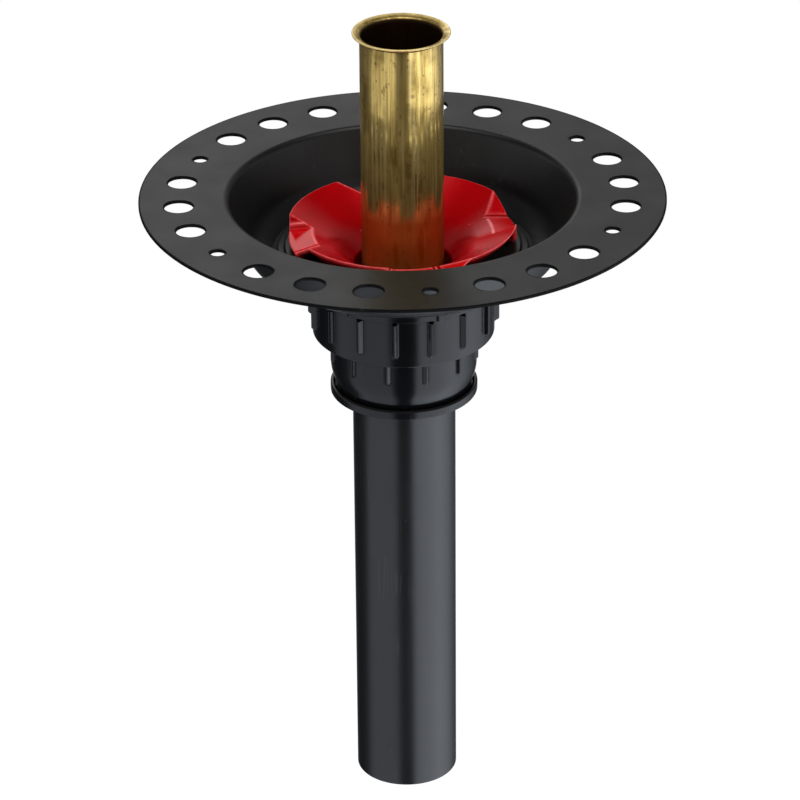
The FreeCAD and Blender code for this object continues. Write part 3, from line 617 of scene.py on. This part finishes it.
def handNutGrid(size):
    rimHeight = nutHead - nutFoot
    half, ramp = np.radians(size["halfAngle"]), np.radians(size["rampAngle"])
    wallTurn = size["wall"] / size["rim"]
    apex = rimHeight - size["depth"] + size["rim"] * size["floorSlope"]
    rimRise = (size["depth"] / size["rim"] - size["floorSlope"]) / np.cos(half)

    def funnel(radius):  # two cones, the lower of them at each radius
        steep = (size["breakHeight"] - size["throatHeight"]) / (size["breakRadius"] - size["throat"])
        flat = (rimHeight - size["breakHeight"]) / (size["rim"] - size["breakRadius"])
        return softMin(size["throatHeight"] + (radius - size["throat"]) * steep,
                       size["breakHeight"] + (radius - size["breakRadius"]) * flat, size["breakBlend"])

    def grooves(radius, angle):  # two fine lines along the foot of the ramp, 1 in their middles
        away = np.abs(np.abs(radius * (angle - ramp) - size["grooveShift"]) - size["grooveApart"])
        return smoothStep(1 - away / size["grooveWidth"])

    def pocket(radius, angle, widen):
        # floor and ramp run to an apex on the axis: z = apex + slope * r cos t; grooves part them, and past
        # -halfAngle the wall rises to a narrow ledge and on behind it
        rise = (np.tan(angle) - np.tan(ramp)) / (np.tan(half) - np.tan(ramp))
        slope = -size["floorSlope"] - size["notch"] / size["rim"]
        slope = slope + (rimRise - slope) * rise
        slope = np.where(angle < ramp, -size["floorSlope"], slope)
        floor = apex + slope * radius * np.cos(angle)
        floor = floor - size["groove"] * grooves(radius, angle)
        past = np.maximum(radius * (-half - widen - angle), 0)
        toLedge = size["ledge"] / size["wallLean"]
        climbed = np.minimum(past, toLedge) + np.maximum(past - toLedge - size["ledgeWidth"], 0)
        return floor + climbed * size["wallLean"]

    def upper(radius, angle):
        return softMin(funnel(radius), pocket(radius, angle, 0), size["edgeBlend"])

    def lower(radius, angle):  # the same, one wall lower, and thicker behind the rim
        root = smoothStep((radius - size["skirtInner"]) / size["skirtBlend"])
        root = root * smoothStep((size["underRim"] - radius) / size["skirtBlend"])
        under = funnel(radius) - size["skirt"] * root
        return softMin(under, pocket(radius, angle, wallTurn), size["edgeBlend"]) - size["wall"]

    # angles of one pocket: their density rises smoothly towards the wall, the grooves and the ramp's end
    step = 360 / size["pockets"]
    even = np.linspace(-step / 2, step / 2, 3001)
    density = size["leastDense"]
    for middle, width, peak in size["densePeaks"]:
        density = density + peak / (1 + ((even - middle) / width) ** 4)
    total = np.concatenate([[0], np.cumsum((density[1:] + density[:-1]) / 2)])
    degrees = np.interp(np.arange(size["columns"]) / size["columns"], total / total[-1], even)
    local = np.radians(np.tile(degrees, size["pockets"]))[:, None]
    angle = np.radians((np.arange(size["pockets"])[:, None] * step + degrees).ravel() + size["pocketTurn"])

    # section at one angle, against the clock: shank, underside, rim, upper face, bore
    rimArc = np.linspace(0, np.pi / 2, 6)
    corner = size["rimRound"]
    inner = size["rim"] - corner
    outerStep, upperBreak = size["outerStep"], size["upperBreak"]
    shankHeight = np.concatenate([[0.0, 0.3], np.arange(*size["shankRows"]), [size["shankEnd"]]])
    underRadius = np.concatenate([[size["shank"], size["shank"] + 0.3],
                                  np.arange(size["underFirst"], size["underRim"] - corner, size["underStep"])])
    upperRadius = np.concatenate([np.arange(inner - outerStep, upperBreak, -outerStep),
                                  np.arange(upperBreak, size["upperEnd"], -size["innerStep"]),
                                  [size["throat"] + 0.2]])
    boreHeight = np.array(size["boreHeights"])
    runs = [len(shankHeight), len(underRadius), len(rimArc), len(rimArc), len(upperRadius), len(boreHeight)]
    radius = np.concatenate([
        np.full(len(shankHeight), size["shank"]), underRadius, size["underRim"] - corner * (1 - np.sin(rimArc)),
        inner + corner * np.cos(rimArc), upperRadius, np.full(len(boreHeight), size["throat"]),
    ])
    lift = np.concatenate([
        shankHeight, np.zeros(len(underRadius)), corner - corner * np.cos(rimArc),
        corner * np.sin(rimArc) - corner, np.zeros(len(upperRadius)), boreHeight,
    ])
    kind = np.repeat([0, 1, 1, 2, 2, 0], runs)
    height = np.where(kind == 0, lift, np.where(kind == 1, lower(radius, local), upper(radius, local)) + lift)
    onShank = np.arange(len(kind)) < len(shankHeight)
    cut = threadCut(height, angle, size["threadPitch"], size["threadDepth"], size["threadFoot"],
                    size["threadTop"])
    grid = turnedGrid(np.stack([radius - np.where(onShank, cut, 0), height + nutFoot], -1), angle)

    # painted highlight where the upper face turns over an edge: along the rim, where pocket and funnel cross, on
    # the ledge and beside the grooves; painted shade in the grooves
    aboveFloor = funnel(radius) - pocket(radius, local, 0)
    cross = np.exp(-(aboveFloor / size["crossLine"]) ** 2)
    cross = cross * smoothStep((radius - size["crossInner"]) / size["crossBlend"])
    wallPast = radius * (-half - local) - size["ledge"] / size["wallLean"]
    halfLedge = size["ledgeWidth"] / 2
    onLedge = smoothStep(size["ledgeFlat"] - np.abs(wallPast - halfLedge) / halfLedge)
    atRim = size["rimHighlight"] * smoothStep((radius - inner) / size["rimBlend"])
    inPocket = funnel(radius) > pocket(radius, local, 0) - size["pocketMargin"]
    fromRidge = np.abs(radius * (local - ramp) - size["grooveShift"])
    ridge = size["ridgeHighlight"] * smoothStep(size["ridgeFlat"] - fromRidge / size["ridgeWidth"]) * inPocket
    grooved = grooves(radius, local) * inPocket
    paintedHighlight = np.max(np.broadcast_arrays(cross, atRim, ridge, onLedge * inPocket), 0)
    tone = np.where(kind == 2, paintedHighlight * (1 - grooved) - grooved, 0)
    return grid, tone


nutGrid, nutTone = handNutGrid(handNutSizes)
makePiece("handNut", [(nutGrid, True, True, nutTone)], "hand_nut", ["compression_nut"],
          redPlastic)

# Brass tailpiece

brassFoot, brassTop = spanOf("brass_tailpiece")
brassSizes = {
    "radius": 19.05, "wall": 0.95, "lipWidth": 3.35, "lipRise": 1.3, "lipThick": 1.05, "flare": 2.2,
    "lipRound": 0.45, "edgeLength": 8.0, "turns": 256,
    "lipHighlight": 1.8, "lipHighlightBlend": 0.8, "boreDark": 1.3, "boreDarkBlend": 1.0,
}


def tailpieceGrid(size):
    bore, lip = size["radius"] - size["wall"], size["radius"] + size["lipWidth"]
    lean = size["lipRise"] / size["lipWidth"]
    outline = roundedOutline([
        (bore, brassFoot, 0.2),
        (size["radius"], brassFoot, 0.3),
        (size["radius"], brassTop - size["lipThick"] - size["lipRise"], size["flare"] - size["wall"]),
        (lip, brassTop - size["lipThick"], size["lipRound"]),
        (lip, brassTop, size["lipRound"]),
        (bore, brassTop - (lip - bore) * lean, size["flare"]),
    ], steps=8)
    outline = finerOutline(outline, size["edgeLength"])
    radius, height = outline[:, 0], outline[:, 1]
    inside = np.arange(len(height)) > np.argmax(height)
    # painted highlight on the lip, painted shade in the bore
    paintedHighlight = smoothStep((radius - lip + size["lipHighlight"]) / size["lipHighlightBlend"])
    paintedShade = smoothStep((bore + size["boreDark"] - radius) / size["boreDarkBlend"])
    return turnedGrid(outline, evenAngles(size["turns"])), paintedHighlight - np.where(inside, paintedShade, 0)


tubeGrid, tubeTone = tailpieceGrid(brassSizes)
makePiece("tailpiece", [(tubeGrid, True, True, tubeTone)], "tailpiece", ["brass_tailpiece"],
          agedBrass)

# Ribbed nuts and backing ring

ribMesh = {  # columns close together across a rib, a few between ribs; painted shade along a rib's foot
    "nearReach": 2.3, "nearStep": 0.18, "farParts": 7, "edgeLength": 0.55, "wallBlend": 0.1,
    "footLine": 0.4, "footDark": 0.6,
}


def ribbedGrid(outline, size):
    # turned outline whose outer wall bulges into ribs: a rib is the band within half its width of an upright
    # line, so its free end is round, and its flank is a smooth step of the given width
    count, wall = size["ribs"], size["wallRadius"]
    near = np.arange(-ribMesh["nearReach"], ribMesh["nearReach"], ribMesh["nearStep"])
    pitch = fullTurn * wall / count
    far = np.linspace(near[-1], pitch + near[0], ribMesh["farParts"] + 1)[1:-1]
    offset = np.concatenate([near, far])
    angle = ((np.arange(count)[:, None] * pitch + offset) / wall).ravel() + np.radians(size["ribTurn"])
    across = (np.tile(offset, count) + pitch / 2) % pitch - pitch / 2
    fine = finerOutline(outline, ribMesh["edgeLength"])
    radius, height = fine[:, 0], fine[:, 1]
    end = size["ribWidth"] / 2
    beyond = height - np.clip(height, size["ribFoot"] + end, size["ribHead"] - end)
    away = np.hypot(across[:, None], beyond)
    onWall = smoothStep((radius - wall + ribMesh["wallBlend"]) / ribMesh["wallBlend"])
    stand = size["ribStand"] * smoothStep((end + size["flank"] / 2 - away) / size["flank"]) * onWall
    stand = stand * smoothStep((size["ribTop"] - height) / size["ribRamp"])
    # painted shade along the rib's foot
    tone = -np.exp(-((away - end - size["flank"] / 2) / ribMesh["footLine"]) ** 2) * onWall
    outline = np.stack(np.broadcast_arrays(radius + stand, height), -1)
    return turnedGrid(outline, angle), ribMesh["footDark"] * tone


def ribbedPiece(name, outline, size, node):
    grid, tone = ribbedGrid(outline, size)
    makePiece(name, [(grid, True, True, tone)], node, [node], nutPlastic)


def bandOutline(size, foot, head, rounds):  # plain ring between its bore and its wall
    bore, wall = size["bore"], size["wallRadius"]
    return roundedOutline(list(zip((bore, wall, wall, bore), (foot, foot, head, head), rounds)))


lockFoot, lockHead = spanOf("locknut")
lockSizes = {
    "bore": 38.8, "wallRadius": 42.4, "ribs": 16, "ribTurn": 16.5, "ribWidth": 1.8, "ribStand": 2.3,
    "ribFoot": lockFoot + 5.8, "ribHead": lockHead + 3.0, "flank": 1.9, "ribTop": lockHead, "ribRamp": 0.6,
}
lockOutline = bandOutline(lockSizes, lockFoot, lockHead, (0.5, 0.8, 0.4, 0.4))
ribbedPiece("lockNut", lockOutline, lockSizes, "locknut")

couplingFoot, couplingHead = spanOf("coupling_nut")
couplingSizes = {
    "bore": 31.3, "neck": 26.98, "foot": 31.6, "taper": 9.2, "wallRadius": 34.2,
    "ribs": 12, "ribTurn": 16.5, "ribWidth": 1.7, "ribStand": 1.4,
    "ribFoot": couplingFoot + 14.9, "ribHead": couplingHead + 3.0, "flank": 1.5,
    "ribTop": couplingHead, "ribRamp": 0.6, "lipHeight": 2.6, "coneHead": 9.6, "taperRound": 20.0,
}


def couplingOutline(size):
    neck, wall, bore = size["neck"], size["wallRadius"], size["bore"]
    return roundedOutline([
        (neck, couplingFoot, 0.3), (size["foot"], couplingFoot, 0.8),
        (wall, couplingFoot + size["taper"], size["taperRound"]), (wall, couplingHead, 0.5),
        (bore, couplingHead, 0.4), (bore, couplingFoot + size["coneHead"], 0.3),
        (neck, couplingFoot + size["lipHeight"], 0.3),
    ])


ribbedPiece("couplingNut", couplingOutline(couplingSizes), couplingSizes, "coupling_nut")

backingFoot, backingHead = spanOf("backing_ring")
backingSizes = {
    "bore": 38.9, "wallRadius": 43.5, "ribs": 6, "ribTurn": 232.0, "ribWidth": 3.0, "ribStand": 1.5,
    "ribFoot": backingFoot - 3.0, "ribHead": backingFoot + 6.5, "flank": 0.5,
    "ribTop": backingHead, "ribRamp": 1.0,
}
backingOutline = bandOutline(backingSizes, backingFoot, backingHead, (0.3, 0.4, 0.4, 0.3))
ribbedPiece("backingRing", backingOutline, backingSizes, "backing_ring")

# Pipe adapter: dished collar, coned union shoulder and sleeve

adapterFoot, adapterHead = spanOf("pipe_adapter")
adapterSizes = {
    "socket": 23.88, "collar": 34.46, "collarHeight": 4.4, "dish": 32.8, "dishFloor": 2.2, "hub": 26.28,
    "neckHeight": 5.8, "union": 30.9, "coneTop": 13.2, "unionTop": 15.2, "stopBore": 21.25, "stopThick": 2.0,
    "edgeLength": 2.0, "turns": 200, "lipHighlight": 0.5, "lipBlend": 0.5, "lipInset": 0.2,
}


def adapterGrid(size):
    rimTop, dishFloor = adapterFoot + size["collarHeight"], adapterFoot + size["dishFloor"]
    neckTop, coneTop = adapterFoot + size["neckHeight"], adapterFoot + size["coneTop"]
    unionTop, stop = adapterFoot + size["unionTop"], adapterHead - size["stopThick"]
    outline = roundedOutline([
        (size["socket"], adapterFoot, 0.1), (size["collar"], adapterFoot, 0.6),
        (size["collar"], rimTop, 0.8), (size["dish"], rimTop, 0.4),
        (size["dish"], dishFloor, 0.8), (size["hub"], dishFloor, 0.8),
        (size["hub"], neckTop, 0.3), (size["union"], coneTop, 0.3),
        (size["union"], unionTop, 0.3), (size["hub"], unionTop, 0.3),
        (size["hub"], adapterHead, 0.3), (size["stopBore"], adapterHead, 0.3),
        (size["stopBore"], stop, 0.2), (size["socket"], stop, 0.1),
    ])
    outline = finerOutline(outline, size["edgeLength"])
    radius, height = outline[:, 0], outline[:, 1]
    # painted highlight on the top of the collar's lip
    lipTop = smoothStep((height - adapterFoot - size["collarHeight"] + size["lipBlend"]) / size["lipBlend"])
    lipTop = lipTop * (radius > size["dish"] + size["lipInset"])
    return turnedGrid(outline, evenAngles(size["turns"])), size["lipHighlight"] * lipTop


collarGrid, collarTone = adapterGrid(adapterSizes)
makePiece("pipeAdapter", [(collarGrid, True, True, collarTone)], "tail_pipe", ["pipe_adapter"],
          nutPlastic)

# Tail pipe

pipeFoot, pipeHead = spanOf("tail_pipe")
pipeSizes = {
    "radius": 24.13, "bore": 20.45, "shoulder": adapterFoot - 0.1, "spigot": 23.83,
    "edgeLength": 6.0, "turns": 240, "footPale": 0.7, "footReach": 0.6, "footBlend": 0.4,
}


def tailPipeGrid(size):
    radius, bore, spigot, shoulder = (size[key] for key in ("radius", "bore", "spigot", "shoulder"))
    outline = finerOutline(roundedOutline([
        (bore, pipeFoot, 0.4), (radius, pipeFoot, 0.5), (radius, shoulder, 0.02),
        (spigot, shoulder, 0.02), (spigot, pipeHead, 0.3), (bore, pipeHead, 0.3),
    ]), size["edgeLength"])
    tone = size["footPale"] * smoothStep((pipeFoot + size["footReach"] - outline[:, 1]) / size["footBlend"])
    return turnedGrid(outline, evenAngles(size["turns"])), tone


pipeGrid, pipeTone = tailPipeGrid(pipeSizes)
makePiece("tailPipe", [(pipeGrid, True, True, pipeTone)], "tail_pipe", ["tail_pipe"],
          pipePlastic)

# Stage, light and camera

stageSizes = {
    "floorHeight": -0.62, "floorReach": 1.1, "paint": 0.9, "rough": 0.9, "glow": 1.04, "glowShare": 0.95,
}


def makeStage(size):
    # pale floor: white to a camera above it, with a little of the object's shadow, and clear to all other rays
    reach, level = size["floorReach"], size["floorHeight"]
    mesh = bpy.data.meshes.new("studioFloor")
    corners = [(-reach, -reach, level), (reach, -reach, level), (reach, reach, level), (-reach, reach, level)]
    mesh.from_pydata(corners, [], [(0, 1, 2, 3)])
    floor = bpy.data.objects.new("studioFloor", mesh)
    bpy.context.scene.collection.objects.link(floor)
    material, tree, shader = newMaterial("studioFloorPaint")
    shader.inputs["Base Color"].default_value = grey(size["paint"])
    shader.inputs["Roughness"].default_value = size["rough"]
    glow = put(tree, "ShaderNodeEmission", {"Color": grey(1.0), "Strength": size["glow"]})
    mixed = put(tree, "ShaderNodeMixShader", {0: size["glowShare"], 1: shader.outputs[0], 2: glow.outputs[0]})
    clear = put(tree, "ShaderNodeBsdfTransparent")
    seen = put(tree, "ShaderNodeLightPath").outputs["Is Camera Ray"]
    seen = math(tree, "SUBTRACT", seen, put(tree, "ShaderNodeNewGeometry").outputs["Backfacing"], clamp=True)
    both = put(tree, "ShaderNodeMixShader", {0: seen, 1: clear.outputs[0], 2: mixed.outputs[0]})
    tree.links.new(both.outputs[0], tree.nodes["Material Output"].inputs["Surface"])
    mesh.materials.append(material)


lowWall = [  # level of the studio below the horizon by azimuth from the camera's side, positive to the right
    (-180, 0.5), (-170, 0.5), (-160, 0.05), (-128, 0.02), (-102, 0.08), (-86, 0.72), (-22, 0.92),
    (-13, 0.05), (14, 0.05), (21, 1.7), (80, 2.1), (102, 1.35), (126, 0.45), (146, 0.10), (160, 0.10),
    (170, 0.6), (180, 0.5),
]
sideWall = [  # a little above it
    (-180, 0.05), (-130, 0.12), (-104, 0.85), (-60, 0.75), (-28, 0.4), (-14, 0.24), (14, 0.28), (28, 0.5),
    (60, 0.8), (104, 0.75), (130, 0.12), (180, 0.05),
]
backWall = [  # and at the height that the plate reflects
    (-180, 1.06), (-166, 1.35), (-148, 0.30), (-132, 0.16), (-96, 0.16), (-80, 0.15), (-40, 0.36), (40, 0.46),
    (80, 0.15), (96, 0.16), (132, 0.16), (148, 0.22), (166, 0.36), (180, 0.70),
]
coolTint, plainTint = (0.92, 0.99, 1.09), (1.0, 1.0, 1.0)
studioSizes = {  # where one wall gives way to the next, by the height of the direction, and the panel overhead
    "lowToSide": (-0.12, 0.04), "sideToBack": (0.16, 0.32), "backToCeiling": (0.50, 0.66), "ceiling": 0.01,
    "panelHeight": (0.84, 0.92), "panelDepth": (0.26, 0.12), "panel": 2.0,
}


def wallRamp(tree, share, levels, tint):
    return colorRamp(tree, share, [(degrees / 360 + 0.5, (*(level * part for part in tint), 1))
                                   for degrees, level in levels])


def makeWorld(size):
    # soft studio: pale sides with a dark gap behind the camera, a pale backdrop, a dark ceiling with a bright
    # panel forward of the zenith; white to the camera
    world = bpy.data.worlds.new("studio")
    bpy.context.scene.world = world
    world.use_nodes = True
    tree = world.node_tree
    tree.nodes.clear()
    toward = put(tree, "ShaderNodeTexCoord").outputs["Generated"]
    part = put(tree, "ShaderNodeSeparateXYZ", {0: toward}).outputs
    azimuth = math(tree, "ARCTAN2", part["X"], math(tree, "MULTIPLY", part["Y"], -1.0))
    share = spread(tree, azimuth, -np.pi, np.pi)
    low, side, back = (wallRamp(tree, share, levels, tint) for levels, tint in
                       ((lowWall, coolTint), (sideWall, plainTint), (backWall, plainTint)))
    wall = blendColor(tree, spread(tree, part["Z"], *size["lowToSide"]), low, side)
    wall = blendColor(tree, spread(tree, part["Z"], *size["sideToBack"]), wall, back)
    light = blendColor(tree, spread(tree, part["Z"], *size["backToCeiling"]), wall, grey(size["ceiling"]))
    overhead = math(tree, "MULTIPLY", spread(tree, part["Z"], *size["panelHeight"]),
                    spread(tree, part["Y"], *size["panelDepth"]))
    light = blendColor(tree, overhead, light, grey(size["panel"]))
    glow = put(tree, "ShaderNodeBackground", {"Color": light, "Strength": 1.0})
    white = put(tree, "ShaderNodeBackground", {"Color": grey(1.0), "Strength": 1.0})
    seen = put(tree, "ShaderNodeLightPath").outputs["Is Camera Ray"]
    both = put(tree, "ShaderNodeMixShader", {0: seen, 1: glow.outputs[0], 2: white.outputs[0]})
    out = put(tree, "ShaderNodeOutputWorld")
    tree.links.new(both.outputs[0], out.inputs["Surface"])


softboxes = {  # azimuth from the camera's side, elevation, distance, width in metres and power in watts
    "leftBox": (-52, 40, 2.0, 0.9, 28.0),
    "rightBox": (52, 40, 2.0, 0.9, 26.0),
    "topBox": (180, 76, 2.0, 0.9, 11.0),
}


def makeSoftboxes(boxes):
    for name, (azimuth, elevation, distance, width, power) in boxes.items():
        light = bpy.data.lights.new(name, "AREA")
        light.size, light.energy = width, power
        lamp = bpy.data.objects.new(name, light)
        lamp.visible_glossy = False
        turn, lift = np.radians([azimuth, elevation])
        place = Vector((np.sin(turn) * np.cos(lift), -np.cos(turn) * np.cos(lift), np.sin(lift))) * distance
        lamp.matrix_world = Matrix.Translation(place) @ place.to_track_quat("Z", "Y").to_matrix().to_4x4()
        bpy.context.scene.collection.objects.link(lamp)


cameraSizes = {
    "focal": 4153.25, "frame": 800, "sensor": 36.0, "farClip": 20.0,
    "place": (-0.01816, -1.7340, 0.79224), "pitch": 27.351, "yaw": 0.535, "roll": 0.496,
}


def makeCamera(size):
    # forward (sin a cos e, cos a cos e, -sin e), then the right and up axes turned by the roll
    yaw, pitch, roll = np.radians([size["yaw"], size["pitch"], size["roll"]])
    forward = np.array([np.sin(yaw) * np.cos(pitch), np.cos(yaw) * np.cos(pitch), -np.sin(pitch)])
    right = np.array([np.cos(yaw), -np.sin(yaw), 0])
    up = np.cross(right, forward)
    across = np.cos(roll) * right - np.sin(roll) * up
    upward = np.sin(roll) * right + np.cos(roll) * up
    basis = np.eye(4)
    basis[:3, :4] = np.stack([across, upward, -forward, np.array(size["place"])], 1)
    data = bpy.data.cameras.new("photoCamera")
    data.sensor_width = size["sensor"]
    data.lens = size["focal"] / size["frame"] * size["sensor"]
    data.clip_end = size["farClip"]
    camera = bpy.data.objects.new("photoCamera", data)
    camera.matrix_world = Matrix(basis.tolist())
    bpy.context.scene.collection.objects.link(camera)
    bpy.context.scene.camera = camera


makeStage(stageSizes)
makeWorld(studioSizes)
makeSoftboxes(softboxes)
makeCamera(cameraSizes)
bpy.context.scene.view_settings.view_transform = "Standard"
print("stage, light and camera made")
